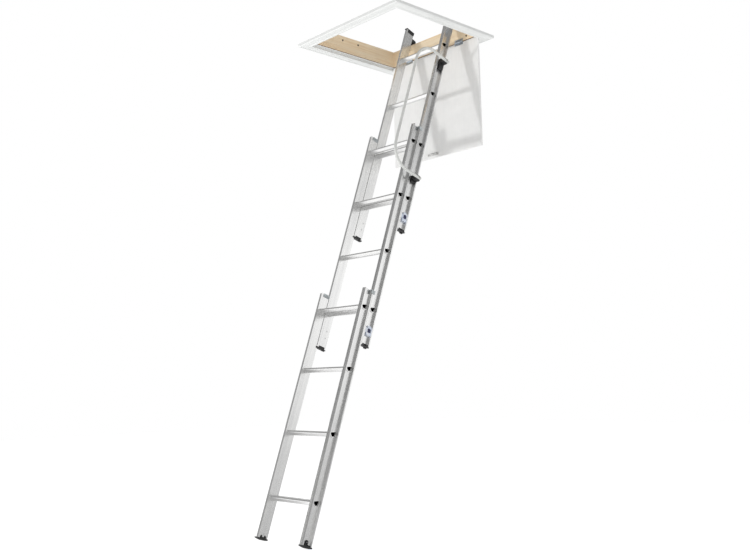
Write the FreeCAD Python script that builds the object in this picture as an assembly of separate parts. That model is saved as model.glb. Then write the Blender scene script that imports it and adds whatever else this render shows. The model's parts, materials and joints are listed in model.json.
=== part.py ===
"""Three-section sliding attic ladder with its hatch: one STEP file for each named piece.

Millimetres, +Z up. The origin is the centre of the hatch opening, level with the ceiling.
+X runs along the rungs, to the right of a climber, and +Y points at the hatch's hinge side.

The ladder is drawn upright in a frame of its own, (x, back, up), and leaned into place:
x is the row's X, "back" points away from the climber and "up" runs along the stiles.
That frame starts at the middle of the lowest rung.
"""
import FreeCAD
import Part
import math
import os
from FreeCAD import Placement, Rotation, Vector

os.makedirs("parts", exist_ok=True)

# ---- driving dimensions: hatch ----
OPENING_X = 570.0
OPENING_Y = 535.0
LINING_HEIGHT = 85.0
LINING_THICKNESS = 18.0
LINING_HOLE = 2.75
SCREW_THREAD = 2.2
SCREW_STANDOUT = 28.0
TRIM_WIDTH = 48.0
TRIM_THICKNESS = 15.0
TRIM_RELIEF = 0.6
REBATE = 10.0
DOOR_THICKNESS = 9.0
DOOR_GAP = 2.0

# ---- driving dimensions: ladder ----
TILT = 19.3
RUNG_PITCH = 280.0
RUNGS_PER_SECTION = 4
INNER_WIDTH = 278.0
LAYER = 48.0
TAIL = 168.0
HEAD = 76.0
UPPER_HEAD = 176.0
MIDDLE_BASE = 3 * RUNG_PITCH + 4.0
UPPER_BASE = 5 * RUNG_PITCH + 9.0
LOWEST_RUNG_DEPTH = 2108.0

# ---- stile profile: distances in front of and behind the rungs' line ----
WEB = 2.0
SHEET = 1.8
FLANGE = 14.0
FRONT = 25.0
TONGUE = 28.5
TONGUE_IN = 2.2
TONGUE_OUT = 0.6
CRANK = 17.0
LIP = 5.0
BACK_WALL = 16.7
GROOVE_FLOOR = 18.2
GROOVE_LIP = 20.9
BACK = 22.4
GROOVE_WALL = 1.6
SLOT_IN = 4.4
SLOT_OUT = 9.6

# ---- rung ----
RUNG_ROUND = 5.5
RUNG_WALL = 1.6
RUNG_CORNERS = ((-8.0, 2.5), (-2.5, -7.0), (2.5, -7.0), (8.0, 2.5))
RUNG_BELL = 0.8
RUNG_TREAD = 8.0
RIB_PITCH = 2.5
RIB_COUNT = 7
COLLAR_LIP = 3.0
COLLAR_THICKNESS = 2.5
BEAD_LIP = 1.4
BEAD_THICKNESS = 4.0

# ---- handrail ----
RAIL_RADIUS = 6.5
RAIL_WALL = 1.5
RAIL_X = 179.0
RAIL_FRONT = -79.5
RAIL_TOP = 2145.0
RAIL_BOTTOM = 1507.0
RAIL_BEND = 98.0
RAIL_TOP_END = 116.0
RAIL_BOTTOM_END = 112.0

# ---- pivot at the top of the hinge-side board ----
PIVOT_Y = 278.6
PIVOT_Z = 100.0
PIVOT_PIN = 4.0
PIVOT_RUN = 0.05
BACK_GAP = 15.0

# ---- hatch hinges and latch ----
HINGE_X = 172.0
HINGE_WIDTH = 52.0
HINGE_LEAF = 15.0
HINGE_SCREW = 9.2
HINGE_SHEET = 1.5
HINGE_Y = OPENING_Y / 2 - 3.5
HINGE_Z = 2.2
KNUCKLE = 3.0
HINGE_PIN = 1.3
HINGE_RUN = 0.08
DOOR_FACE = HINGE_Y + 2.7
DOOR_TOP = HINGE_Z - 4.5
LATCH_X = -22.0

# ---- spring catches ----
CATCH_DROP = 100.0
CATCH_BACK = 6.5
NOSE_HALF = 6.0
NOSE_REACH = 29.2
NOSE_IN = 4.9
NOSE_OUT = 9.1
BAR_IN = 3.9
BAR_OUT = 10.7
SPRING_PITCH = 2.3
SPRING_TURNS = 4.5
SPRING_RADIUS = 2.8
SPRING_WIRE = 0.5
LUG_HEIGHT = 14.0

SPAN = (RUNGS_PER_SECTION - 1) * RUNG_PITCH
HALF_X = OPENING_X / 2
HALF_Y = OPENING_Y / 2
WEB_IN = INNER_WIDTH / 2
WEB_OUT = WEB_IN + WEB
COS = math.cos(math.radians(TILT))
SIN = math.sin(math.radians(TILT))
# The upper stile's back stays BACK_GAP clear of the lining's top inner edge.
BACK_FACE = 2 * LAYER + BACK
RISE = LINING_HEIGHT + LOWEST_RUNG_DEPTH
LADDER_Y = HALF_Y - (BACK_FACE + BACK_GAP + RISE * SIN) / COS


# ---- helpers ----
def leaned(shape):
    """Moves a shape from the ladder's upright frame to its leaning place."""
    out = shape.copy()
    out.Placement = Placement(
        Vector(0, LADDER_Y, -LOWEST_RUNG_DEPTH), Rotation(Vector(1, 0, 0), -TILT)
    ).multiply(out.Placement)
    return out


def to_ladder(y, z):
    """Gives (back, up) in the ladder's frame of a point in the row's YZ plane."""
    along_y = y - LADDER_Y
    along_z = z + LOWEST_RUNG_DEPTH
    return along_y * COS - along_z * SIN, along_y * SIN + along_z * COS


def mirrored(shape):
    return shape.mirror(Vector(0, 0, 0), Vector(1, 0, 0))


def box(x0, x1, y0, y1, z0, z1):
    return Part.makeBox(x1 - x0, y1 - y0, z1 - z0, Vector(x0, y0, z0))


def rod(radius, start, end):
    first = Vector(*start)
    along = Vector(*end) - first
    return Part.makeCylinder(radius, along.Length, first, along)


def prism_up(points, z0, z1):
    """Extrudes an outline of (x, y) points from z0 to z1."""
    wire = Part.makePolygon([Vector(x, y, z0) for x, y in points + points[:1]])
    return Part.Face(wire).extrude(Vector(0, 0, z1 - z0))


def prism_across(points, x0, x1):
    """Extrudes an outline of (y, z) points from x0 to x1."""
    wire = Part.makePolygon([Vector(x0, y, z) for y, z in points + points[:1]])
    return Part.Face(wire).extrude(Vector(x1 - x0, 0, 0))


def softened(shape, radius, direction):
    """Rounds the straight edges that run along a direction."""
    edges = [
        edge
        for edge in shape.Edges
        if edge.Curve.TypeId == "Part::GeomLine"
        and abs(edge.Curve.Direction.dot(direction)) > 0.999
    ]
    return shape.makeFillet(radius, edges)


def merged(shapes):
    """Fuses shapes into one clean solid."""
    body = shapes[0]
    for piece in shapes[1:]:
        body = body.fuse(piece)
    return body.removeSplitter()


def save(name, solids):
    shape = solids[0] if len(solids) == 1 else Part.makeCompound(solids)
    if not shape.isValid():
        raise ValueError(name + " is not a valid shape")
    shape.exportStep("parts/" + name + ".step")


def pair(shape):
    """A piece of the right-hand stile and its twin on the left, leaned into place."""
    return [leaned(shape), leaned(mirrored(shape))]


# ---- hatch ----
def lining_screw(x, y, z, outward):
    """A wood screw through a lining board: its head is inside, its thread stands in the joist."""
    def at(depth):
        return (x + outward[0] * depth, y + outward[1] * depth, z)

    tip = LINING_THICKNESS + SCREW_STANDOUT
    head = rod(4.5, at(-1.2), at(0))
    shank = rod(2.5, at(0), at(LINING_THICKNESS))
    thread = rod(SCREW_THREAD, at(LINING_THICKNESS), at(tip))
    return merged([head, shank, thread])


def lining_hole(x, y, z, outward):
    """The clearance hole of a lining screw."""
    reach = LINING_THICKNESS + 1.0
    return rod(
        LINING_HOLE, (x - outward[0], y - outward[1], z), (x + outward[0] * reach, y + outward[1] * reach, z)
    )


def lining_fixings():
    places = []
    for side in (-1, 1):
        for z in (22.0, 62.0):
            places.append((side * 220.0, HALF_Y, z, (0, 1)))
            places.append((side * 200.0, -HALF_Y, z, (0, -1)))
    for y in (-88.0, 15.0):
        places.append((-HALF_X, y, 62.0, (-1, 0)))
        places.append((HALF_X, y, 62.0, (1, 0)))
    return places


def make_lining():
    outer_x = HALF_X + LINING_THICKNESS
    outer_y = HALF_Y + LINING_THICKNESS
    boards = {
        "lining_board_hinge_side": box(-outer_x, outer_x, HALF_Y, outer_y, 0, LINING_HEIGHT),
        "lining_board_front": box(-outer_x, outer_x, -outer_y, -HALF_Y, 0, LINING_HEIGHT),
        "lining_board_left": box(-outer_x, -HALF_X, -HALF_Y, HALF_Y, 0, LINING_HEIGHT),
        "lining_board_right": box(HALF_X, outer_x, -HALF_Y, HALF_Y, 0, LINING_HEIGHT),
    }
    holes = Part.makeCompound([lining_hole(*place) for place in lining_fixings()] + hatch_screws())
    for name, board in boards.items():
        save(name, [board.cut(holes)])
    save("lining_screws", [lining_screw(*place) for place in lining_fixings()])


def make_trim():
    """Four mitred lengths of moulding. A relief groove parts the seat on the lining from the ceiling face."""
    t = TRIM_THICKNESS
    seat = LINING_THICKNESS - REBATE
    moulding = [
        (0, 0), (0, -t), (9, -t), (11, -t + 2), (14, -t + 2), (15.5, -t + 0.8),
        (35, -t + 0.8), (36.5, -t + 2), (39, -t + 2), (40.5, -t), (45, -t), (48, -t + 3), (48, 0),
        (seat + TRIM_RELIEF, 0), (seat + TRIM_RELIEF, -TRIM_RELIEF), (seat, -TRIM_RELIEF), (seat, 0),
    ]
    inner_x = HALF_X + REBATE
    inner_y = HALF_Y + REBATE
    sides = (
        ("trim_hinge_side", inner_y, inner_x, 0.0),
        ("trim_left", inner_x, inner_y, 90.0),
        ("trim_front", inner_y, inner_x, 180.0),
        ("trim_right", inner_x, inner_y, 270.0),
    )
    for name, reach, half, turn in sides:
        points = [(reach + u, z) for u, z in moulding]
        length = half + TRIM_WIDTH
        strip = prism_across(points, -length, length)
        plan = [
            (-half, reach), (half, reach),
            (length, reach + TRIM_WIDTH), (-length, reach + TRIM_WIDTH),
        ]
        piece = strip.common(prism_up(plan, -t - 1, 1))
        piece.rotate(Vector(0, 0, 0), Vector(0, 0, 1), turn)
        save(name, [piece])


def bracket_screw(x):
    """Round-headed screw that holds a pivot bracket to the hinge-side board."""
    face = HALF_Y - 3.0
    return merged([rod(4.0, (x, face - 2.0, 68), (x, face, 68)), rod(2.0, (x, face, 68), (x, face + 18, 68))])


def leaf_screw(x, y, z, depth):
    """Small screw through a hinge leaf or latch plate, driven along +Y."""
    return merged([rod(2.8, (x, y - 0.9, z), (x, y, z)), rod(1.5, (x, y, z), (x, y + depth, z))])


def fixed_leaf_screws():
    return [
        leaf_screw(side * HINGE_X + offset, HALF_Y - HINGE_SHEET, HINGE_Z + HINGE_SCREW, 13)
        for side in (-1, 1)
        for offset in (-16, 16)
    ]


def keeper_screws():
    """Two screws that hold the latch keeper to the front board, driven along -Y."""
    screws = []
    for x in (LATCH_X - 17, LATCH_X + 17):
        face = -HALF_Y + 4.0
        head = rod(2.8, (x, face + 0.9, 21), (x, face, 21))
        screws.append(merged([head, rod(1.5, (x, face, 21), (x, face - 16, 21))]))
    return screws


def hatch_screws():
    brackets = [bracket_screw(side * x) for side in (-1, 1) for x in (182.0, 204.0)]
    return brackets + fixed_leaf_screws() + keeper_screws()


def pivot_bracket():
    """Bent steel plate on the board's top edge, with an upright lug for the pivot pin."""
    front = HALF_Y - 3.0
    top = LINING_HEIGHT + 3.0
    down = softened(box(172, 214, front, HALF_Y, 56, top), 4.0, Vector(0, 1, 0))
    deck = box(168, 214, front, HALF_Y + LINING_THICKNESS, LINING_HEIGHT, top)
    eye = rod(10.0, (168, PIVOT_Y, PIVOT_Z), (171, PIVOT_Y, PIVOT_Z))
    foot = box(168, 171, PIVOT_Y - 10, HALF_Y + LINING_THICKNESS, LINING_HEIGHT, PIVOT_Z)
    return merged([deck, down, eye, foot]).cut(
        rod(PIVOT_PIN, (160, PIVOT_Y, PIVOT_Z), (180, PIVOT_Y, PIVOT_Z))
    )


def pivot_pin():
    shank = rod(PIVOT_PIN, (146, PIVOT_Y, PIVOT_Z), (171, PIVOT_Y, PIVOT_Z))
    head = rod(7.0, (171, PIVOT_Y, PIVOT_Z), (175, PIVOT_Y, PIVOT_Z))
    return merged([shank, head])


def make_pivots():
    screws = Part.makeCompound(hatch_screws())
    right = pivot_bracket().cut(screws)
    save("pivot_brackets", [right, mirrored(right)])
    save("pivot_pins", [pivot_pin(), mirrored(pivot_pin())])
    save("hatch_screws", hatch_screws())


# ---- door and its hinges ----
def knuckle(x0, x1, bore):
    barrel = rod(KNUCKLE, (x0, HINGE_Y, HINGE_Z), (x1, HINGE_Y, HINGE_Z))
    return barrel.cut(rod(bore, (x0, HINGE_Y, HINGE_Z), (x1, HINGE_Y, HINGE_Z)))


def fixed_leaf(centre):
    """The leaf on the lining, with the two outer knuckles."""
    left = centre - HINGE_WIDTH / 2
    right = centre + HINGE_WIDTH / 2
    face = HALF_Y - HINGE_SHEET
    plate = box(left, right, face, HALF_Y, HINGE_Z + 3.4, HINGE_Z + HINGE_LEAF)
    ends = []
    for x0, x1 in ((left, centre - 9), (centre + 9, right)):
        ends.append(knuckle(x0, x1, HINGE_PIN))
        ends.append(box(x0, x1, face, HALF_Y - 0.5, HINGE_Z + 1.5, HINGE_Z + 3.4))
    return merged([plate] + ends)


def door_leaf(centre):
    """The leaf on the door, with the middle knuckle."""
    left = centre - HINGE_WIDTH / 2
    right = centre + HINGE_WIDTH / 2
    face = DOOR_FACE - HINGE_SHEET
    plate = box(left, right, face, DOOR_FACE, HINGE_Z - HINGE_LEAF, HINGE_Z - 3.4)
    neck = box(centre - 8.6, centre + 8.6, face, DOOR_FACE, HINGE_Z - 3.4, HINGE_Z - 1.4)
    return merged([plate, neck, knuckle(centre - 8.6, centre + 8.6, HINGE_PIN + HINGE_RUN)])


def make_hinges():
    hatch_holes = Part.makeCompound(hatch_screws())
    door_holes = Part.makeCompound(door_screws())
    centres = (-HINGE_X, HINGE_X)
    save("hinge_fixed_leaves", [fixed_leaf(x).cut(hatch_holes) for x in centres])
    save("hinge_door_leaves", [door_leaf(x).cut(door_holes) for x in centres])
    pins = []
    for x in centres:
        start = (x - HINGE_WIDTH / 2, HINGE_Y, HINGE_Z)
        end = (x + HINGE_WIDTH / 2, HINGE_Y, HINGE_Z)
        pins.append(rod(HINGE_PIN, start, end))
    save("hinge_pins", pins)


def door_length():
    """From the hinge edge to the free edge, which closes DOOR_GAP inside the front trim."""
    return HINGE_Y - (HINGE_Z - DOOR_TOP) + HALF_Y + REBATE - DOOR_GAP


def door_screws():
    screws = [
        leaf_screw(side * HINGE_X + offset, DOOR_FACE - HINGE_SHEET, HINGE_Z - HINGE_SCREW, 8)
        for side in (-1, 1)
        for offset in (-16, 16)
    ]
    latch_z = DOOR_TOP - door_length() + 18.5
    for offset in (-28, 28):
        screws.append(leaf_screw(LATCH_X + offset, DOOR_FACE - 2.0, latch_z, 8))
    return screws


def make_door():
    holes = Part.makeCompound(door_screws())
    half = HALF_X + REBATE - DOOR_GAP - 1.0
    bottom = DOOR_TOP - door_length()
    panel = box(-half, half, DOOR_FACE, DOOR_FACE + DOOR_THICKNESS, bottom, DOOR_TOP)
    panel = softened(panel, 2.0, Vector(0, 1, 0))
    save("door_panel", [panel.cut(holes)])
    save("door_screws", door_screws())
    latch_z = bottom + 18.5
    plate = box(LATCH_X - 36, LATCH_X + 36, DOOR_FACE - 2.0, DOOR_FACE, latch_z - 7, latch_z + 7)
    plate = softened(plate, 5.0, Vector(0, 1, 0))
    neck = box(LATCH_X - 8, LATCH_X + 8, DOOR_FACE - 13, DOOR_FACE - 2, latch_z - 1.5, latch_z + 1.5)
    catch = rod(2.5, (LATCH_X - 8, DOOR_FACE - 13, latch_z), (LATCH_X + 8, DOOR_FACE - 13, latch_z))
    save("latch_striker", [merged([plate, neck, catch]).cut(holes)])


def make_keeper():
    """Box on the front board that the door's striker snaps into."""
    slot_y = -HALF_Y - REBATE + DOOR_GAP + 18.5
    shell = box(LATCH_X - 24, LATCH_X + 24, -HALF_Y, slot_y + 8, 5, 26)
    shell = softened(shell, 1.5, Vector(1, 0, 0))
    slot = box(LATCH_X - 10, LATCH_X + 10, slot_y - 4, slot_y + 4, 0, 20)
    wings = box(LATCH_X + 11, LATCH_X + 25, -HALF_Y + 4, slot_y + 9, 0, 30)
    shell = shell.cut(slot).cut(wings).cut(wings.mirror(Vector(LATCH_X, 0, 0), Vector(1, 0, 0)))
    save("latch_keeper", [shell.cut(Part.makeCompound(keeper_screws()))])


# ---- swivel guides ----
def groove_key(layer, z0, z1, neck_end):
    """T-section that slides in a stile's back groove: its neck stands out of the slot to neck_end."""
    head = box(
        WEB_IN + GROOVE_WALL + 0.5, WEB_IN + FLANGE - GROOVE_WALL - 0.5,
        layer + GROOVE_FLOOR + 0.5, layer + GROOVE_LIP - 0.5, z0, z1,
    )
    neck = box(
        WEB_IN + SLOT_IN + 0.5, WEB_IN + SLOT_OUT - 0.5,
        layer + GROOVE_FLOOR + 0.5, layer + neck_end, z0, z1,
    )
    return [head, neck]


def make_swivel_guides():
    """A block keyed into each upper stile's back groove, which turns on the pivot pin."""
    back, up = to_ladder(PIVOT_Y, PIVOT_Z)
    layer = 2 * LAYER
    parts = groove_key(layer, up - 18, up + 18, BACK + 2.5)
    parts.append(box(WEB_IN + 1, WEB_IN + 16, layer + BACK + 1, back, up - 8, up + 8))
    parts.append(rod(8.0, (WEB_IN + 1, back, up), (WEB_IN + 28, back, up)))
    bore = rod(PIVOT_PIN + PIVOT_RUN, (WEB_IN, back, up), (WEB_IN + 40, back, up))
    save("swivel_guides", pair(merged(parts).cut(bore)))


# ---- stiles and rungs ----
def stile_outline():
    """Right-hand stile in plan: an outward channel with a keyway behind and a tongue in front."""
    side = FLANGE - GROOVE_WALL
    return [
        (-TONGUE_IN, -TONGUE), (-TONGUE_OUT, -TONGUE), (-TONGUE_OUT, -FRONT), (FLANGE, -FRONT),
        (FLANGE, -FRONT + LIP), (FLANGE - SHEET, -FRONT + LIP), (FLANGE - SHEET, -FRONT + SHEET),
        (-0.3, -FRONT + SHEET), (-0.3, -CRANK - 2.8), (WEB, -CRANK - 0.3), (WEB, BACK_WALL),
        (FLANGE, BACK_WALL), (FLANGE, BACK), (SLOT_OUT, BACK), (SLOT_OUT, GROOVE_LIP),
        (side, GROOVE_LIP), (side, GROOVE_FLOOR), (GROOVE_WALL, GROOVE_FLOOR),
        (GROOVE_WALL, GROOVE_LIP), (SLOT_IN, GROOVE_LIP), (SLOT_IN, BACK), (0, BACK),
        (0, -CRANK), (-TONGUE_IN, -CRANK - 2.5),
    ]


def stile(layer, bottom, top):
    return prism_up([(WEB_IN + u, layer + v) for u, v in stile_outline()], bottom, top)


def rung_outline(x, grow):
    """Rounded trapezium with its flat tread on top, as an offset of its corner centres."""
    radius = RUNG_ROUND + grow
    centres = [Vector(x, y, z) for y, z in RUNG_CORNERS]
    count = len(centres)
    normals = []
    for i in range(count):
        along = centres[(i + 1) % count] - centres[i]
        along.normalize()
        normals.append(Vector(0, along.z, -along.y))
    edges = []
    for i in range(count):
        after = (i + 1) % count
        start = centres[i] + normals[i] * radius
        end = centres[after] + normals[i] * radius
        edges.append(Part.LineSegment(start, end).toShape())
        halfway = normals[i] + normals[after]
        halfway.normalize()
        turn_end = centres[after] + normals[after] * radius
        edges.append(Part.Arc(end, centres[after] + halfway * radius, turn_end).toShape())
    return Part.Wire(edges)


def rung_prism(x0, x1, grow):
    return Part.Face(rung_outline(x0, grow)).extrude(Vector(x1 - x0, 0, 0))


def rung():
    """Hollow tube across both stiles, swaged against each web, with a ribbed tread."""
    end = WEB_OUT + COLLAR_THICKNESS
    parts = [rung_prism(-end, end, 0)]
    for side in (-1, 1):
        parts.append(rung_prism(side * WEB_OUT, side * end, COLLAR_LIP))
        parts.append(rung_prism(side * (WEB_IN - BEAD_THICKNESS), side * WEB_IN, BEAD_LIP))
    tube = merged(parts)
    inner = WEB_IN - BEAD_THICKNESS
    for i in range(RIB_COUNT):
        y = (i - (RIB_COUNT - 1) / 2) * RIB_PITCH
        tube = tube.fuse(box(-inner, inner, y - 0.6, y + 0.6, RUNG_TREAD - 0.5, RUNG_TREAD + 0.6))
    tube = tube.cut(rung_prism(-end, end, -RUNG_WALL))
    for side in (-1, 1):
        tube = tube.cut(rung_prism(side * (WEB_OUT + 0.6), side * end, RUNG_BELL))
    return tube


def rung_place(layer, up):
    """Row-frame centre of a rung. The tread stays level however the stiles lean."""
    return Vector(0, LADDER_Y + layer * COS + up * SIN, -LOWEST_RUNG_DEPTH - layer * SIN + up * COS)


def make_section(name, layer, base, head, has_catches):
    """The two stiles and four rungs of one section."""
    shape = stile(layer, base - TAIL, base + SPAN + head)
    if has_catches:
        slot_w = base - CATCH_DROP
        slot = box(
            WEB_IN + SLOT_IN, WEB_IN + SLOT_OUT, layer - FRONT - 1, layer - FRONT + SHEET + 1,
            slot_w - NOSE_HALF - 0.6, slot_w + NOSE_HALF + 0.6,
        )
        shape = shape.cut(slot)
    sides = {"right": leaned(shape), "left": leaned(mirrored(shape))}
    template = rung()
    reach = WEB_OUT + COLLAR_THICKNESS
    cutter = rung_prism(-reach, reach, 0)
    drilled = dict(sides)
    for i in range(RUNGS_PER_SECTION):
        centre = rung_place(layer, base + i * RUNG_PITCH)
        piece = template.copy()
        piece.translate(centre)
        save(name + "_rung_" + str(i + 1), [piece])
        hole = cutter.copy()
        hole.translate(centre)
        drilled = {side: part.cut(hole) for side, part in drilled.items()}
    rivets = Part.makeCompound(section_rivets(name, layer, base))
    for side, part in drilled.items():
        save(name + "_stile_" + side, [part.cut(rivets)])


# ---- rivets ----
def rivet(back, up, out_to):
    """Blind rivet through a stile's web: a domed head inside and a shank out to a plate."""
    dome = Part.makeSphere(3.6, Vector(WEB_IN + 2.2, back, up))
    head = dome.common(box(WEB_IN - 2, WEB_IN, back - 4, back + 4, up - 4, up + 4))
    shank = rod(1.6, (WEB_IN, back, up), (out_to, back, up))
    return merged([head, shank])


def section_rivets(name, layer, base):
    if name == "lower":
        return pair(rivet(layer, base - TAIL + 15, WEB_OUT + 4.5))
    catch = base - CATCH_DROP
    rivets = pair(rivet(layer + CATCH_BACK, catch + 16, WEB_OUT + 8))
    rivets += pair(rivet(layer + CATCH_BACK, catch - 16, WEB_OUT + 8))
    if name == "upper":
        rivets += pair(rivet(layer, base + SPAN + UPPER_HEAD - 9, WEB_OUT + 4))
    return rivets


# ---- end caps, guides and feet ----
def plug_plan(layer):
    """Plan of a cap's plug in the channel, notched round the stile's front lip."""
    front = layer - FRONT + SHEET + 0.3
    back = layer + BACK_WALL - 0.3
    clear = layer - FRONT + LIP + 0.4
    inside = WEB_IN + FLANGE - SHEET - 0.3
    outside = WEB_IN + FLANGE - 0.4
    return [
        (WEB_OUT, front), (inside, front), (inside, clear), (outside, clear), (outside, back),
        (WEB_OUT, back),
    ]


def bottom_cap(layer, base):
    """Black end cap keyed into the groove of the stile in front, with a toe at the back."""
    end = base - TAIL
    plug = prism_up(plug_plan(layer), end, end + 8)
    pocket = box(WEB_OUT + 4, WEB_IN + 40, layer - 8, layer + 3, end + 1.5, end + 5.5)
    plate = box(WEB_IN - 3.1, WEB_IN + FLANGE + 0.6, layer - FRONT, layer + BACK, end - 4, end)
    plate = softened(plate, 1.8, Vector(1, 0, 0))
    ear = box(WEB_IN - 3.1, WEB_IN - 0.6, layer - 32, layer - FRONT + 5, end - 4, end)
    wing = box(WEB_IN - 3.1, WEB_IN - TONGUE_IN, layer - 32, layer - 10, end - 4, end + 3)
    cheek = box(WEB_IN - 3.1, WEB_IN, layer - CRANK + 0.5, layer + 14, end - 4, end + 10)
    toe = box(WEB_IN - 3.1, WEB_IN + 4, layer + 4, layer + 17, end - 8, end - 2)
    key = groove_key(layer - LAYER, end - 4, end + 12, BACK + 0.3)
    neck = box(
        WEB_IN + SLOT_IN + 0.5, WEB_IN + SLOT_OUT - 0.5, layer - FRONT - 1, layer - FRONT + 5, end - 4, end
    )
    return merged([plug.cut(pocket), plate, ear, wing, cheek, toe, neck] + key)


def top_cap():
    """Black cap on an upper stile. Its leg in the back groove rests on the swivel guide."""
    layer = 2 * LAYER
    end = UPPER_BASE + SPAN + UPPER_HEAD
    front = layer - TONGUE - 0.5
    back = layer + BACK + 0.8
    plate = box(WEB_IN - 2.8, WEB_IN + FLANGE + 0.8, front, back, end, end + 4)
    cheek = box(WEB_IN - 2.8, WEB_IN, layer - CRANK + 0.5, back, end - 13, end)
    plug = prism_up(plug_plan(layer), end - 14, end)
    skirt = box(WEB_IN - 2.8, WEB_IN + FLANGE + 0.8, layer + BACK, back, end - 13, end)
    guide_top = to_ladder(PIVOT_Y, PIVOT_Z)[1] + 18
    leg = groove_key(layer, guide_top + 0.4, end, BACK + 2.0)
    return merged([plate, cheek, plug, skirt] + leg)


def top_guide(layer, base):
    """Grey block on a stile's back top corner that hooks round the next stile's front lip."""
    end = base + SPAN + HEAD
    outside = WEB_IN + FLANGE + 2.5
    next_lip = layer + LAYER - FRONT + LIP
    plate = box(WEB_IN - 2.4, outside, layer + 8, layer + BACK - 3.8, end, end + 2.5)
    ledge = box(WEB_IN, outside, layer + 8, layer + BACK, end, end + 2.5)
    side = box(WEB_IN + FLANGE + 0.5, outside, layer + 10, next_lip + 2.2, end - 13, end + 2.5)
    turn = box(WEB_IN + FLANGE - 1.4, outside, next_lip + 0.6, next_lip + 2.2, end - 13, end + 2.5)
    bridge = box(WEB_IN + FLANGE, outside, layer + 10, layer + BACK_WALL, end - 13, end)
    clip = box(WEB_IN - 2.4, WEB_IN, layer - 14, layer + BACK - 3.8, end - 13, end + 2.5)
    for back in (layer - 9, layer + 3):
        clip = clip.cut(box(WEB_IN - 2.4, WEB_IN - 1.0, back, back + 8, end - 9, end - 3))
    return merged([plate, ledge, side, turn, bridge, clip])


def foot():
    """Black foot: a crowned sole, a ring tab up the channel and two pointed tabs inside."""
    end = -TAIL
    sole_front = -FRONT - 8.0
    sole_back = BACK + 1.0
    low = end - 9.0
    ends = [Vector(WEB_IN - 4, sole_back, end - 5.5), Vector(WEB_IN - 4, sole_front, end - 3)]
    crown = Part.Arc(ends[0], Vector(WEB_IN - 4, -4, low), ends[1]).toShape()
    corners = [ends[1], Vector(WEB_IN - 4, sole_front + 5, end), Vector(WEB_IN - 4, sole_back, end), ends[0]]
    sides = [Part.LineSegment(corners[i], corners[i + 1]).toShape() for i in range(3)]
    sole = Part.Face(Part.Wire([crown] + sides)).extrude(Vector(FLANGE + 8, 0, 0))
    treads = []
    for i in range(4):
        back = -18.0 + i * 9.0
        treads.append(box(WEB_IN - 5, WEB_IN + FLANGE + 5, back, back + 2.5, low - 1, low + 1.8))
    sole = sole.cut(Part.makeCompound(treads))
    plug = prism_up(plug_plan(0.0), end, end + 5)
    tab = box(WEB_OUT, WEB_OUT + 3, -8, 8, end, end + 15)
    ring = rod(8.0, (WEB_OUT, 0, end + 15), (WEB_OUT + 3, 0, end + 15))
    dish = rod(4.5, (WEB_OUT + 1.2, 0, end + 15), (WEB_OUT + 3, 0, end + 15))
    points = [
        (-15, end), (-15, end + 6), (-11, end + 12), (-6, end + 4), (2, end + 4),
        (7, end + 12), (13, end + 6), (15, end),
    ]
    inner_tabs = prism_across(points, WEB_IN - 2.6, WEB_IN)
    return merged([sole, plug, tab, ring, inner_tabs]).cut(dish)


def make_ends():
    upper_rivets = Part.makeCompound(section_rivets("upper", 2 * LAYER, UPPER_BASE))
    foot_rivets = Part.makeCompound(section_rivets("lower", 0.0, 0.0))
    save("upper_top_caps", [cap.cut(upper_rivets) for cap in pair(top_cap())])
    save("upper_bottom_caps", pair(bottom_cap(2 * LAYER, UPPER_BASE)))
    save("middle_bottom_caps", pair(bottom_cap(LAYER, MIDDLE_BASE)))
    save("middle_top_guides", pair(top_guide(LAYER, MIDDLE_BASE)))
    save("lower_top_guides", pair(top_guide(0.0, 0.0)))
    save("feet", [part.cut(foot_rivets) for part in pair(foot())])


# ---- spring catches ----
def catch_housing(layer, up):
    """Pale block riveted in the channel, bored for the plunger and its spring."""
    block = box(WEB_OUT, WEB_IN + 13.6, layer - 10.5, layer + BACK_WALL - 0.2, up - 21, up + 21)
    block = softened(block, 3.0, Vector(1, 0, 0))
    inside = WEB_IN + FLANGE - SHEET - 0.3
    snout = box(WEB_OUT, inside, layer - FRONT + SHEET + 0.2, layer - 10, up - 10, up + 10)
    bore = box(WEB_IN + BAR_IN - 0.4, WEB_IN + BAR_OUT + 0.4, layer - 25, layer + 14, up - 6.3, up + 6.3)
    thumb_slot = box(WEB_IN + BAR_OUT, WEB_IN + 16, layer - 6.5, layer + 11.5, up - 8.5, up + 8.5)
    notch = prism_across(
        [(layer + 3, up + 22), (layer + 18, up + 22), (layer + 18, up + 10)], WEB_IN + 8, WEB_IN + 16
    )
    return merged([block, snout]).cut(bore).cut(thumb_slot).cut(notch)


def catch_plunger(layer, up):
    """The sliding nose under the next stile's stop lug, with a ribbed thumb pad."""
    bar = box(WEB_IN + BAR_IN, WEB_IN + BAR_OUT, layer - 19, layer + 2, up - NOSE_HALF, up + NOSE_HALF)
    nose = box(
        WEB_IN + NOSE_IN, WEB_IN + NOSE_OUT, layer - NOSE_REACH, layer - 19, up - NOSE_HALF, up + NOSE_HALF
    )
    pad = box(WEB_IN + BAR_OUT + 0.2, WEB_IN + 17, layer - 6, layer + 6, up - 8, up + 8)
    pad = softened(pad, 2.0, Vector(1, 0, 0))
    post = box(WEB_IN + 9, WEB_IN + 13, layer - 5, layer + 2, up - 5, up + 5)
    for i in range(3):
        rib_up = up - 5 + i * 4
        pad = pad.cut(box(WEB_IN + 16, WEB_IN + 18, layer - 7, layer + 7, rib_up, rib_up + 2))
    return merged([bar, nose, pad, post])


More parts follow.
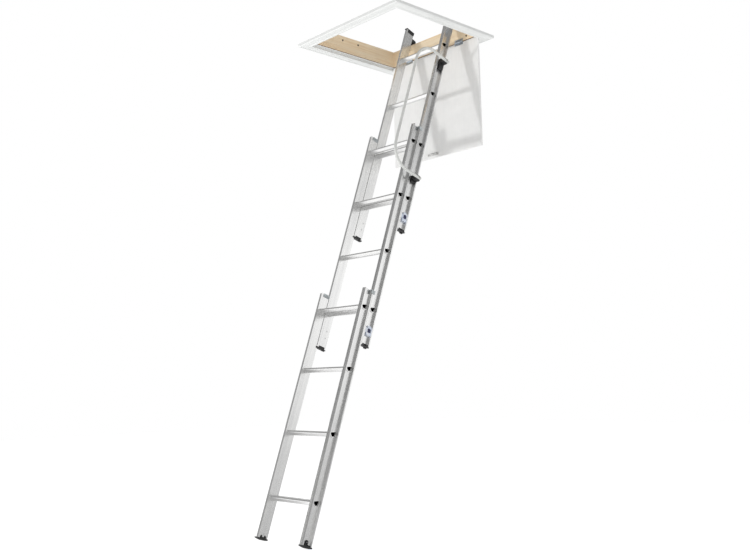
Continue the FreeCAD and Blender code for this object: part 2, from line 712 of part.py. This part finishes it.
def catch_spring(layer, up):
    """Compression spring behind the plunger, at its latched length. Its wire has eight flats."""
    helix = Part.makeHelix(SPRING_PITCH, SPRING_PITCH * SPRING_TURNS, SPRING_RADIUS)
    corners = []
    for i in range(9):
        angle = math.radians(22.5 + 45 * i)
        corners.append(Vector(math.cos(angle), math.sin(angle), 0) * SPRING_WIRE)
    tangent = Vector(0, 2 * math.pi * SPRING_RADIUS, SPRING_PITCH)
    profile = Part.makePolygon(corners)
    profile.Placement = Placement(Vector(SPRING_RADIUS, 0, 0), Rotation(Vector(0, 0, 1), tangent))
    coil = Part.Wire(helix.Edges).makePipeShell([profile], True, True)
    coil.rotate(Vector(0, 0, 0), Vector(1, 0, 0), -90)
    coil.translate(Vector(WEB_IN + (BAR_IN + BAR_OUT) / 2, layer + 2.6 + SPRING_WIRE, up))
    return coil


def stop_lug(layer, catch_up):
    """Block pinched into a stile's back groove that comes down on the catch plunger's nose."""
    low = catch_up + NOSE_HALF + 0.6
    head = box(
        WEB_IN + GROOVE_WALL, WEB_IN + FLANGE - GROOVE_WALL,
        layer + GROOVE_FLOOR, layer + GROOVE_LIP, low, low + LUG_HEIGHT,
    )
    neck = box(
        WEB_IN + SLOT_IN, WEB_IN + SLOT_OUT,
        layer + GROOVE_FLOOR, layer + BACK - 0.2, low, low + LUG_HEIGHT,
    )
    return merged([head, neck])


def make_catches():
    for name, layer, base in (("upper", 2 * LAYER, UPPER_BASE), ("middle", LAYER, MIDDLE_BASE)):
        up = base - CATCH_DROP
        rivets = section_rivets(name, layer, base)
        holes = Part.makeCompound(rivets)
        save(name + "_catch_housings", [part.cut(holes) for part in pair(catch_housing(layer, up))])
        right, left = pair(catch_plunger(layer, up))
        save(name + "_catch_plunger_right", [right])
        save(name + "_catch_plunger_left", [left])
        save(name + "_catch_springs", pair(catch_spring(layer, up)))
        save(name + "_rivets", rivets)
    save("foot_rivets", section_rivets("lower", 0.0, 0.0))
    save("middle_stop_lugs", pair(stop_lug(LAYER, UPPER_BASE - CATCH_DROP)))
    save("lower_stop_lugs", pair(stop_lug(0.0, MIDDLE_BASE - CATCH_DROP)))


# ---- handrail ----
def rail_path():
    """Centre line: back from the top bracket, down in front of the ladder, and back again."""
    diagonal = RAIL_BEND * (1 - math.sqrt(0.5))
    turn = RAIL_FRONT + RAIL_BEND
    top_start = Vector(RAIL_X, RAIL_TOP_END, RAIL_TOP)
    top_turn = Vector(RAIL_X, turn, RAIL_TOP)
    top_mid = Vector(RAIL_X, RAIL_FRONT + diagonal, RAIL_TOP - diagonal)
    front_top = Vector(RAIL_X, RAIL_FRONT, RAIL_TOP - RAIL_BEND)
    front_bottom = Vector(RAIL_X, RAIL_FRONT, RAIL_BOTTOM + RAIL_BEND)
    low_mid = Vector(RAIL_X, RAIL_FRONT + diagonal, RAIL_BOTTOM + diagonal)
    low_turn = Vector(RAIL_X, turn, RAIL_BOTTOM)
    low_end = Vector(RAIL_X, RAIL_BOTTOM_END, RAIL_BOTTOM)
    return Part.Wire([
        Part.LineSegment(top_start, top_turn).toShape(),
        Part.Arc(top_turn, top_mid, front_top).toShape(),
        Part.LineSegment(front_top, front_bottom).toShape(),
        Part.Arc(front_bottom, low_mid, low_turn).toShape(),
        Part.LineSegment(low_turn, low_end).toShape(),
    ])


def rail_sweep(radius):
    start = Vector(RAIL_X, RAIL_TOP_END, RAIL_TOP)
    circle = Part.Wire(Part.makeCircle(radius, start, Vector(0, 1, 0)))
    return rail_path().makePipeShell([circle], True, False)


def rail_screws():
    layer = 2 * LAYER
    screws = []
    for up in (RAIL_TOP, RAIL_BOTTOM):
        face = RAIL_X + RAIL_RADIUS
        head = rod(4.5, (face - 0.8, layer + 4, up), (face + 2.4, layer + 4, up))
        screws.append(merged([head, rod(2.5, (WEB_OUT + 4, layer + 4, up), (face, layer + 4, up))]))
    return screws


def rail_bracket(up, below):
    """Black block in the channel that carries one end of the handrail clear of the sliding stiles."""
    layer = 2 * LAYER
    back = layer + BACK_WALL - 0.3
    block = box(WEB_OUT, WEB_IN + FLANGE + 3, layer - 10.5, back, up - below, up + 12)
    block = softened(block, 3.0, Vector(1, 0, 0))
    seat = box(WEB_IN + FLANGE + 3, RAIL_X - 2, layer - 10.5, back, up - 14, up + 12)
    return merged([block, softened(seat, 3.0, Vector(1, 0, 0))])


def make_handrail():
    outer = rail_sweep(RAIL_RADIUS)
    screws = Part.makeCompound(rail_screws())
    places = ((RAIL_TOP, 43.0), (RAIL_BOTTOM, 20.0))
    brackets = [rail_bracket(up, below).cut(outer).cut(screws) for up, below in places]
    tube = outer.cut(rail_sweep(RAIL_RADIUS - RAIL_WALL)).cut(screws)
    save("handrail", [leaned(tube)])
    save("handrail_brackets", [leaned(part) for part in brackets])
    save("handrail_screws", [leaned(part) for part in rail_screws()])


make_lining()
make_trim()
make_pivots()
make_hinges()
make_door()
make_keeper()
make_swivel_guides()
make_section("upper", 2 * LAYER, UPPER_BASE, UPPER_HEAD, True)
make_section("middle", LAYER, MIDDLE_BASE, HEAD, True)
make_section("lower", 0.0, 0.0, HEAD, False)
make_ends()
make_catches()
make_handrail()
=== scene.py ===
"""Looks of the attic ladder: procedural materials on the CAD frame, a pale studio and the camera.

Everything is in metres in the row's frame: the origin is the centre of the hatch opening at
ceiling level, +X runs along the rungs, +Y points at the hinge side and +Z is up.
"""
import json
import math

import bpy
from mathutils import Matrix, Vector

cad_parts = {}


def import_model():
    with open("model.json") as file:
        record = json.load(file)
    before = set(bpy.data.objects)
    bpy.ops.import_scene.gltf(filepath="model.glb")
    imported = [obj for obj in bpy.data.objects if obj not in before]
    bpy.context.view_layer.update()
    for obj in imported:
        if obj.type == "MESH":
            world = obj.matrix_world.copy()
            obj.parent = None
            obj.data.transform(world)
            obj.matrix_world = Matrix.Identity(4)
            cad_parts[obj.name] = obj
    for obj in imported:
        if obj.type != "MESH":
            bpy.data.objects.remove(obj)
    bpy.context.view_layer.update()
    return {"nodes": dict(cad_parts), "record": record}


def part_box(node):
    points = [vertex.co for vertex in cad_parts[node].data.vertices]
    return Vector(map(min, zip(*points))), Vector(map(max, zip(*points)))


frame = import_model()
NODES = frame["nodes"]

# ---- driving values ----
LEAN = math.radians(19.3)  # the ladder's lean from vertical

CAMERA_PLACE = (2.985, -2.9399, -1.6499)
CAMERA_YAW = math.radians(-47.102)
CAMERA_PITCH = math.radians(6.934)
CAMERA_ROLL = math.radians(-1.22)
CAMERA_REACH = 100.0
FOCAL_PIXELS = 902.56
IMAGE_WIDTH = 750.0
SENSOR = 36.0  # mm

KEY_PLACE = (-2.4, -3.6, -1.1)
KEY_TARGET = (0.0, 0.0, -0.9)
KEY_SIZE = (0.32, 0.32)
KEY_POWER = 58.0  # W

FLOOR_REACH = 9.0
FLOOR_GLOW = 0.9
CEILING_REACH = 0.62
CEILING_LIFT = 0.0005  # the ceiling patch stays this far above the trim's top

# The sky's grey at each height, from -1 straight down to 1 straight up.
BRIGHT_SKY = (
    (-1.0, 0.44),
    (-0.16, 0.30),
    (-0.06, 0.36),
    (0.02, 0.68),
    (0.17, 0.80),
    (0.26, 0.20),
    (1.0, 0.20),
)
GREY_SKY = (
    (-1.0, 0.84),
    (-0.25, 0.66),
    (-0.05, 0.64),
    (0.01, 0.52),
    (0.06, 0.24),
    (0.2, 0.22),
    (1.0, 0.18),
)
BRIGHT_SIDE = (0.7071, 0.7071, 0.0)
GREY_UNTIL = -0.75  # how far towards the bright side the grey sky reaches
BRIGHT_FROM = -0.1
SKY_STRENGTH = 1.8

PAINTED_GAP_SHADE_LINE = 0.0032  # height of the painted gap shadow, a dark brown line along a lining board's lower edge
TREAD_SHARE = 0.83  # a rung's ribbed tread starts this far up its box
BOX_MIDDLE = (0.5, 0.5, 0.5)
INWARD = -0.02  # below this, a rung's surface faces the rung's own axis
FLAT = 0.5  # a surface whose normal rises or falls more than this is a top or an under edge


def grey(value):
    """The grey whose three channels all have this value."""
    return (value, value, value)


WHITE = grey(1.0)
BLACK = grey(0.0)
# Painted shade: near black on the inner walls of the rung tubes.
TUBE_PAINTED_SHADE = grey(0.02)
# Painted shadow: dark brown for the shaded gap between a lining board and the trim.
PAINTED_GAP_SHADE = (0.22, 0.12, 0.06)
EDGE_PAINT = (0.80, 0.80, 0.79)
RAW_EDGE = (0.45, 0.29, 0.16)
BIRCH = ((0.28, (0.86, 0.66, 0.42)), (0.5, (0.96, 0.80, 0.58)), (0.75, (0.98, 0.87, 0.68)))
BIRCH_PATCHES = ((0.3, (0.93, 0.89, 0.84)), (0.65, WHITE))

# How many times a pattern repeats in a metre, along X, Y and Z.
STILE_LINES = (900.0, 900.0, 6.0)
STILE_BANDS = (90.0, 90.0, 1.6)
RUNG_LINES = (6.0, 900.0, 900.0)
RUNG_BANDS = (1.6, 90.0, 90.0)
PLY_GRAIN = (2.2, 2.2, 60.0)
PLY_PORES = (30.0, 30.0, 900.0)
PLY_PATCHES = (3.0, 3.0, 9.0)
TRIM_STROKES = (9.0, 9.0, 400.0)
DOOR_STROKES = (260.0, 9.0, 5.0)
PLATE_SCRATCHES = (90.0, 900.0, 1400.0)
NO_TURN = (0.0, 0.0, 0.0)
STILE_TURN = (LEAN, 0.0, 0.0)
SCRATCH_TURN = (0.3, 0.5, 0.2)

Y_WAY = (0, 1, 0)
Z_WAY = (0, 0, 1)


# ---- node helpers ----
class Nodes:
    """A short way to add nodes to a tree. Each value is a number, a colour or another node's output."""

    def __init__(self, tree):
        self.tree = tree
        self.places = self.add("ShaderNodeTexCoord").outputs

    def add(self, kind):
        return self.tree.nodes.new(kind)

    def put(self, value, socket):
        """Links an output to a socket, or sets the socket to a number, a colour or a vector."""
        if isinstance(value, bpy.types.NodeSocket):
            self.tree.links.new(value, socket)
        elif socket.type == "RGBA":
            socket.default_value = (*value, 1.0)
        else:
            socket.default_value = value

    def ramp(self, factor, *stops):
        """Colour ramp from (position, colour) stops. A plain number is a grey."""
        node = self.add("ShaderNodeValToRGB")
        elements = node.color_ramp.elements
        while len(elements) < len(stops):
            elements.new(0.5)
        for element, (position, colour) in zip(elements, stops):
            element.position = position
            shade = colour if hasattr(colour, "__len__") else grey(colour)
            element.color = (*shade, 1.0)
        self.put(factor, node.inputs["Fac"])
        return node.outputs["Color"]

    def maths(self, operation, first, second):
        node = self.add("ShaderNodeMath")
        node.operation = operation
        self.put(first, node.inputs[0])
        self.put(second, node.inputs[1])
        return node.outputs[0]

    def vectors(self, operation, first, second):
        node = self.add("ShaderNodeVectorMath")
        node.operation = operation
        self.put(first, node.inputs[0])
        self.put(second, node.inputs[1])
        return node.outputs

    def along(self, vector, direction):
        """How far a vector points along a direction."""
        return self.vectors("DOT_PRODUCT", vector, direction)["Value"]

    def mix(self, factor, first, second, blend="MIX"):
        """Mixes two colours. Each is an output or a colour."""
        node = self.add("ShaderNodeMix")
        node.data_type = "RGBA"
        node.blend_type = blend
        for value, place in ((factor, 0), (first, 6), (second, 7)):
            self.put(value, node.inputs[place])
        return node.outputs[2]

    def multiply(self, first, second):
        return self.mix(1.0, first, second, "MULTIPLY")


class Shader(Nodes):
    """One material on a Principled shader, with the patterns that materials are made of."""

    def __init__(self, name, colour, roughness, metallic=0.0):
        self.material = bpy.data.materials.new(name)
        self.material.use_nodes = True
        self.material.diffuse_color = (*colour, 1.0)
        super().__init__(self.material.node_tree)
        self.shader = self.tree.nodes["Principled BSDF"]
        self.coordinates = self.places["Object"]
        self.set("Base Color", colour)
        self.set("Roughness", roughness)
        self.set("Metallic", metallic)

    def set(self, socket, value):
        self.put(value, self.shader.inputs[socket])

    def stretched(self, repeats, turn=NO_TURN):
        """Object coordinates turned and then scaled, so a pattern can run along a piece."""
        turned = self.add("ShaderNodeMapping")
        self.put(turn, turned.inputs["Rotation"])
        self.put(self.coordinates, turned.inputs["Vector"])
        return self.vectors("MULTIPLY", turned.outputs["Vector"], repeats)["Vector"]

    def noise(self, vector, scale=1.0, detail=3.0, roughness=0.6, distortion=0.0):
        node = self.add("ShaderNodeTexNoise")
        self.put(vector, node.inputs["Vector"])
        self.put(scale, node.inputs["Scale"])
        self.put(detail, node.inputs["Detail"])
        self.put(roughness, node.inputs["Roughness"])
        self.put(distortion, node.inputs["Distortion"])
        return node.outputs["Fac"]

    def bump(self, height, strength, depth, over=None):
        """Bumps of the given depth in metres, over another bump's normal if there is one."""
        node = self.add("ShaderNodeBump")
        self.put(strength, node.inputs["Strength"])
        self.put(depth, node.inputs["Distance"])
        self.put(height, node.inputs["Height"])
        if over is not None:
            self.put(over, node.inputs["Normal"])
        return node.outputs["Normal"]


# ---- materials ----
def inside_tube(look):
    """1 on the inner wall of a tube that runs along X, where the surface faces the tube's axis; this masks
    the painted shade inside the rungs.
    """
    in_box, normal = look.places["Generated"], look.places["Normal"]
    centred = look.vectors("SUBTRACT", in_box, BOX_MIDDLE)["Vector"]
    across = look.maths("MULTIPLY", look.along(centred, Y_WAY), look.along(normal, Y_WAY))
    upright = look.maths("MULTIPLY", look.along(centred, Z_WAY), look.along(normal, Z_WAY))
    inward = look.maths("LESS_THAN", look.maths("ADD", across, upright), INWARD)
    below_tread = look.maths("LESS_THAN", look.along(in_box, Z_WAY), TREAD_SHARE)
    return look.maths("MULTIPLY", inward, below_tread)


def aluminium(name, dark, light, roughness, up_stile=False, hollow=False):
    """Mill-finish aluminium: fine die lines along the piece, cloudy tone and small scuffs.

    The lines run along X, or up the leaning stiles. A hollow piece gets painted shade: near black on its
    tube's inner wall.
    """
    look = Shader(name, light, 0.4, 1.0)
    lines, bands, turn = RUNG_LINES, RUNG_BANDS, NO_TURN
    if up_stile:
        lines, bands, turn = STILE_LINES, STILE_BANDS, STILE_TURN
    fine = look.noise(look.stretched(lines, turn))
    broad = look.noise(look.stretched(bands, turn), detail=5.0)
    clouds = look.noise(look.coordinates, scale=9.0, detail=5.0)
    scuffs = look.noise(look.coordinates, scale=130.0, detail=6.0, roughness=0.72, distortion=0.6)
    tone = look.ramp(broad, (0.3, dark), (0.7, light))
    tone = look.multiply(tone, look.ramp(clouds, (0.3, 0.90), (0.7, 1.0)))
    tone = look.multiply(tone, look.ramp(fine, (0.25, 0.94), (0.7, 1.0)))
    tone = look.multiply(tone, look.ramp(scuffs, (0.28, 0.88), (0.42, 1.0)))
    if hollow:
        # Painted shade: the tube's inner wall is coloured near black.
        tone = look.mix(inside_tube(look), tone, TUBE_PAINTED_SHADE)
    look.set("Base Color", tone)
    low, high = roughness
    along_lines = look.ramp(fine, (0.25, low), (0.75, high))
    in_clouds = look.ramp(clouds, (0.3, low), (0.7, high))
    look.set("Roughness", look.mix(0.5, along_lines, in_clouds))
    drawn = look.bump(fine, strength=0.3, depth=0.00015)
    look.set("Normal", look.bump(scuffs, strength=0.12, depth=0.0003, over=drawn))
    return look.material


def plywood():
    """Pale birch-faced board: wavy grain, pores and patches, a painted under edge, a raw top edge and
    painted gap shadow low on its faces.
    """
    look = Shader("plywood", (0.78, 0.58, 0.38), 0.55)
    grain = look.noise(look.stretched(PLY_GRAIN), detail=6.0, distortion=0.8)
    pores = look.noise(look.stretched(PLY_PORES))
    patches = look.noise(look.stretched(PLY_PATCHES), roughness=0.5)
    colour = look.ramp(grain, *BIRCH)
    colour = look.multiply(colour, look.ramp(pores, (0.3, 0.88), (0.5, 1.0)))
    colour = look.multiply(colour, look.ramp(patches, *BIRCH_PATCHES))
    height = look.along(look.coordinates, Z_WAY)
    # Painted shadow: a dark brown line along the bottom of the board's faces, where the gap to the trim is
    # in shade.
    colour = look.mix(look.maths("LESS_THAN", height, PAINTED_GAP_SHADE_LINE), colour, PAINTED_GAP_SHADE)
    up = look.along(look.places["Normal"], Z_WAY)
    colour = look.mix(look.maths("LESS_THAN", up, -FLAT), colour, EDGE_PAINT)
    colour = look.mix(look.maths("GREATER_THAN", up, FLAT), colour, RAW_EDGE)
    look.set("Base Color", colour)
    look.set("Roughness", look.ramp(grain, (0.3, 0.62), (0.7, 0.48)))
    waves = look.bump(grain, strength=0.2, depth=0.0006)
    look.set("Normal", look.bump(pores, strength=0.25, depth=0.0003, over=waves))
    return look.material


def painted_wood(name, colour, stroke):
    """White satin paint with faint brush strokes and a trace of dirt."""
    look = Shader(name, colour, 0.35)
    strokes = look.noise(look.stretched(stroke), detail=4.0)
    mottle = look.noise(look.coordinates, scale=22.0, detail=5.0)
    dirty = tuple(channel * 0.955 for channel in colour)
    tint = look.ramp(mottle, (0.3, dirty), (0.65, colour))
    look.set("Base Color", look.multiply(tint, look.ramp(strokes, (0.3, 0.97), (0.6, 1.0))))
    look.set("Roughness", look.ramp(mottle, (0.3, 0.44), (0.7, 0.32)))
    brushed = look.bump(strokes, strength=0.049, depth=0.00025)
    look.set("Normal", look.bump(mottle, strength=0.0175, depth=0.0006, over=brushed))
    return look.material


def moulded(name, colour, roughness, grain=0.5):
    """Moulded plastic or rubber with a fine spark-eroded grain and dusty, rubbed highlights."""
    look = Shader(name, colour, roughness)
    fine = look.noise(look.coordinates, scale=2600.0, detail=2.0, roughness=0.5)
    dust = look.noise(look.coordinates, scale=60.0, detail=6.0, roughness=0.65)
    pale = tuple(min(1.0, channel * 1.6 + 0.02) for channel in colour)
    rubbed, dusty = max(0.05, roughness - 0.08), min(1.0, roughness + 0.14)
    look.set("Base Color", look.ramp(dust, (0.45, colour), (0.8, pale)))
    look.set("Roughness", look.ramp(dust, (0.3, rubbed), (0.75, dusty)))
    look.set("Normal", look.bump(fine, strength=grain, depth=0.00012))
    return look.material


def plated(name, dark, light, roughness):
    """Zinc-plated steel: cloudy plating with fine scratches."""
    look = Shader(name, light, roughness, 1.0)
    clouds = look.noise(look.coordinates, scale=70.0, detail=5.0, distortion=0.4)
    scratch = look.noise(look.stretched(PLATE_SCRATCHES, SCRATCH_TURN))
    tone = look.ramp(clouds, (0.3, dark), (0.7, light))
    look.set("Base Color", look.multiply(tone, look.ramp(scratch, (0.3, 0.82), (0.5, 1.0))))
    look.set("Roughness", look.ramp(clouds, (0.3, roughness + 0.14), (0.7, roughness - 0.04)))
    look.set("Normal", look.bump(scratch, strength=0.2, depth=0.0001))
    return look.material


def coated_tube():
    """Pale powder coat with a slight orange peel."""
    look = Shader("handrail_coat", (0.64, 0.65, 0.63), 0.3)
    peel = look.noise(look.coordinates, scale=700.0, detail=2.0, roughness=0.5)
    mottle = look.noise(look.coordinates, scale=35.0, detail=5.0)
    look.set("Base Color", look.ramp(mottle, (0.3, (0.58, 0.59, 0.57)), (0.65, (0.68, 0.69, 0.67))))
    look.set("Roughness", look.ramp(mottle, (0.3, 0.36), (0.7, 0.26)))
    look.set("Normal", look.bump(peel, strength=0.12, depth=0.0002))
    return look.material


def glowing(name, colour, roughness, specular, strength):
    """Plain stage paint that gives off white light of its own."""
    look = Shader(name, colour, roughness)
    look.set("Specular IOR Level", specular)
    look.set("Emission Color", WHITE)
    look.set("Emission Strength", strength)
    return look.material


MATERIALS = {
    "plywood_lining": plywood(),
    "white_trim": painted_wood("trim_paint", (0.79, 0.8, 0.79), TRIM_STROKES),
    "white_door": painted_wood("door_foil", (0.89, 0.89, 0.88), DOOR_STROKES),
    "stile_aluminium": aluminium("stile_mill", grey(0.80), (0.93, 0.93, 0.92), (0.22, 0.34), up_stile=True),
    "rung_aluminium": aluminium("rung_mill", grey(0.82), (0.95, 0.95, 0.94), (0.24, 0.36), hollow=True),
    "rivet_aluminium": aluminium("rivet_mill", (0.60, 0.60, 0.61), grey(0.80), (0.30, 0.45)),
    "handrail_tube": coated_tube(),
    "foot_rubber": moulded("foot_rubber", grey(0.012), 0.62, grain=0.6),
    "black_plastic": moulded("black_nylon", (0.014, 0.014, 0.015), 0.42),
    "grey_plastic": moulded("grey_nylon", (0.42, 0.45, 0.46), 0.45),
    "catch_housing_plastic": moulded("pale_nylon", (0.62, 0.68, 0.80), 0.38),
    "catch_plunger_plastic": moulded("navy_nylon", (0.014, 0.018, 0.07), 0.38),
    "spring_steel": plated("spring_wire", (0.52, 0.52, 0.53), (0.72, 0.72, 0.73), 0.25),
    "zinc_steel": plated("zinc_plate", (0.50, 0.57, 0.65), (0.68, 0.76, 0.85), 0.34),
    "screw_steel": plated("screw_zinc", (0.40, 0.39, 0.37), (0.62, 0.61, 0.58), 0.30),
}

# Nodes whose finish differs from the rest of their slot.
NODE_MATERIALS = {
    "latch_striker": moulded("latch_paint", (0.52, 0.52, 0.51), 0.4),
    "lining_screws": plated("dark_screw", (0.05, 0.045, 0.04), (0.12, 0.11, 0.10), 0.45),
}
SLOT_OF = {part["node"]: part["material_slot"] for part in frame["record"]["subparts"]}
for name, node in NODES.items():
    for slot in node.material_slots:
        slot.material = NODE_MATERIALS.get(name, MATERIALS[SLOT_OF[name]])


# ---- studio ----
def rectangle(half_x, half_y, height):
    """The corners of a level rectangle round the Z axis."""
    corners = ((-1, -1), (1, -1), (1, 1), (-1, 1))
    return [(x * half_x, y * half_y, height) for x, y in corners]


def flat_piece(name, corners, faces, material):
    """A flat mesh object in the scene."""
    mesh = bpy.data.meshes.new(name)
    mesh.from_pydata(corners, [], faces)
    mesh.materials.append(material)
    piece = bpy.data.objects.new(name, mesh)
    bpy.context.scene.collection.objects.link(piece)
    return piece


def floor():
    """A wide pale floor under the ladder's feet."""
    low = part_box("feet")[0].z
    corners = rectangle(FLOOR_REACH, FLOOR_REACH, low)
    paint = glowing("floor_paint", grey(0.5), roughness=0.9, specular=0.1, strength=FLOOR_GLOW)
    plane = flat_piece("floor", corners, [(0, 1, 2, 3)], paint)
    plane.visible_glossy = False


def ceiling():
    """White ceiling round the lining. Only the camera sees it, so it takes no light away."""
    near_x, near_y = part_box("lining_board_front")[1].x, -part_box("lining_board_front")[0].y
    corners = rectangle(near_x, near_y, CEILING_LIFT)
    corners += rectangle(CEILING_REACH, CEILING_REACH, CEILING_LIFT)
    faces = [(i, (i + 1) % 4, 4 + (i + 1) % 4, 4 + i) for i in range(4)]
    paint = glowing("ceiling_white", BLACK, roughness=1.0, specular=0.0, strength=1.0)
    patch = flat_piece("ceiling", corners, faces, paint)
    patch.visible_diffuse = False
    patch.visible_glossy = False
    patch.visible_transmission = False
    patch.visible_shadow = False


def key_light():
    """A small lamp in front of the ladder and to its left, which throws its shadow on the door."""
    lamp = bpy.data.lights.new("key", "AREA")
    lamp.shape = "RECTANGLE"
    lamp.size, lamp.size_y = KEY_SIZE
    lamp.energy = KEY_POWER
    light = bpy.data.objects.new("key", lamp)
    light.location = KEY_PLACE
    beam = Vector(KEY_TARGET) - Vector(KEY_PLACE)
    light.rotation_euler = beam.to_track_quat("-Z", "Y").to_euler()
    light.visible_glossy = False
    bpy.context.scene.collection.objects.link(light)


def spread(sky, value, low, high, interpolation="LINEAR"):
    """Maps values from low to high onto 0 to 1."""
    node = sky.add("ShaderNodeMapRange")
    node.interpolation_type = interpolation
    sky.put(value, node.inputs["Value"])
    sky.put(low, node.inputs["From Min"])
    sky.put(high, node.inputs["From Max"])
    return node.outputs["Result"]


def sky_tone(sky, height, stops):
    """The sky's grey, from (height, grey) stops with heights from -1 to 1."""
    return sky.ramp(height, *(((up + 1) / 2, tone) for up, tone in stops))


def world():
    """White to the eye. Metal sees a bright side beyond +X +Y, a greyer one opposite and a dark top."""
    studio = bpy.data.worlds.new("studio")
    bpy.context.scene.world = studio
    studio.use_nodes = True
    sky = Nodes(studio.node_tree)
    where = sky.places["Generated"]
    height = spread(sky, sky.along(where, Z_WAY), -1.0, 1.0)
    grey_side = sky_tone(sky, height, GREY_SKY)
    bright_side = sky_tone(sky, height, BRIGHT_SKY)
    share = spread(sky, sky.along(where, BRIGHT_SIDE), GREY_UNTIL, BRIGHT_FROM, "SMOOTHSTEP")
    reflected = sky.mix(share, grey_side, bright_side)
    to_camera = sky.add("ShaderNodeLightPath").outputs["Is Camera Ray"]
    backdrop = tuple(channel / SKY_STRENGTH for channel in WHITE)
    background = sky.tree.nodes["Background"]
    sky.put(sky.mix(to_camera, reflected, backdrop), background.inputs["Color"])
    sky.put(SKY_STRENGTH, background.inputs["Strength"])


def camera():
    """The camera's place, aim and lens."""
    data = bpy.data.cameras.new("camera")
    data.sensor_width = SENSOR
    data.lens = FOCAL_PIXELS / IMAGE_WIDTH * SENSOR
    data.clip_end = CAMERA_REACH
    eye = bpy.data.objects.new("camera", data)
    aim = Matrix.Rotation(-CAMERA_YAW, 4, "Z")
    tip = Matrix.Rotation(math.pi / 2 + CAMERA_PITCH, 4, "X")
    roll = Matrix.Rotation(CAMERA_ROLL, 4, "Z")
    eye.matrix_world = Matrix.Translation(CAMERA_PLACE) @ aim @ tip @ roll
    bpy.context.scene.collection.objects.link(eye)
    bpy.context.scene.camera = eye


floor()
ceiling()
world()
key_light()
camera()
bpy.context.scene.view_settings.view_transform = "Standard"
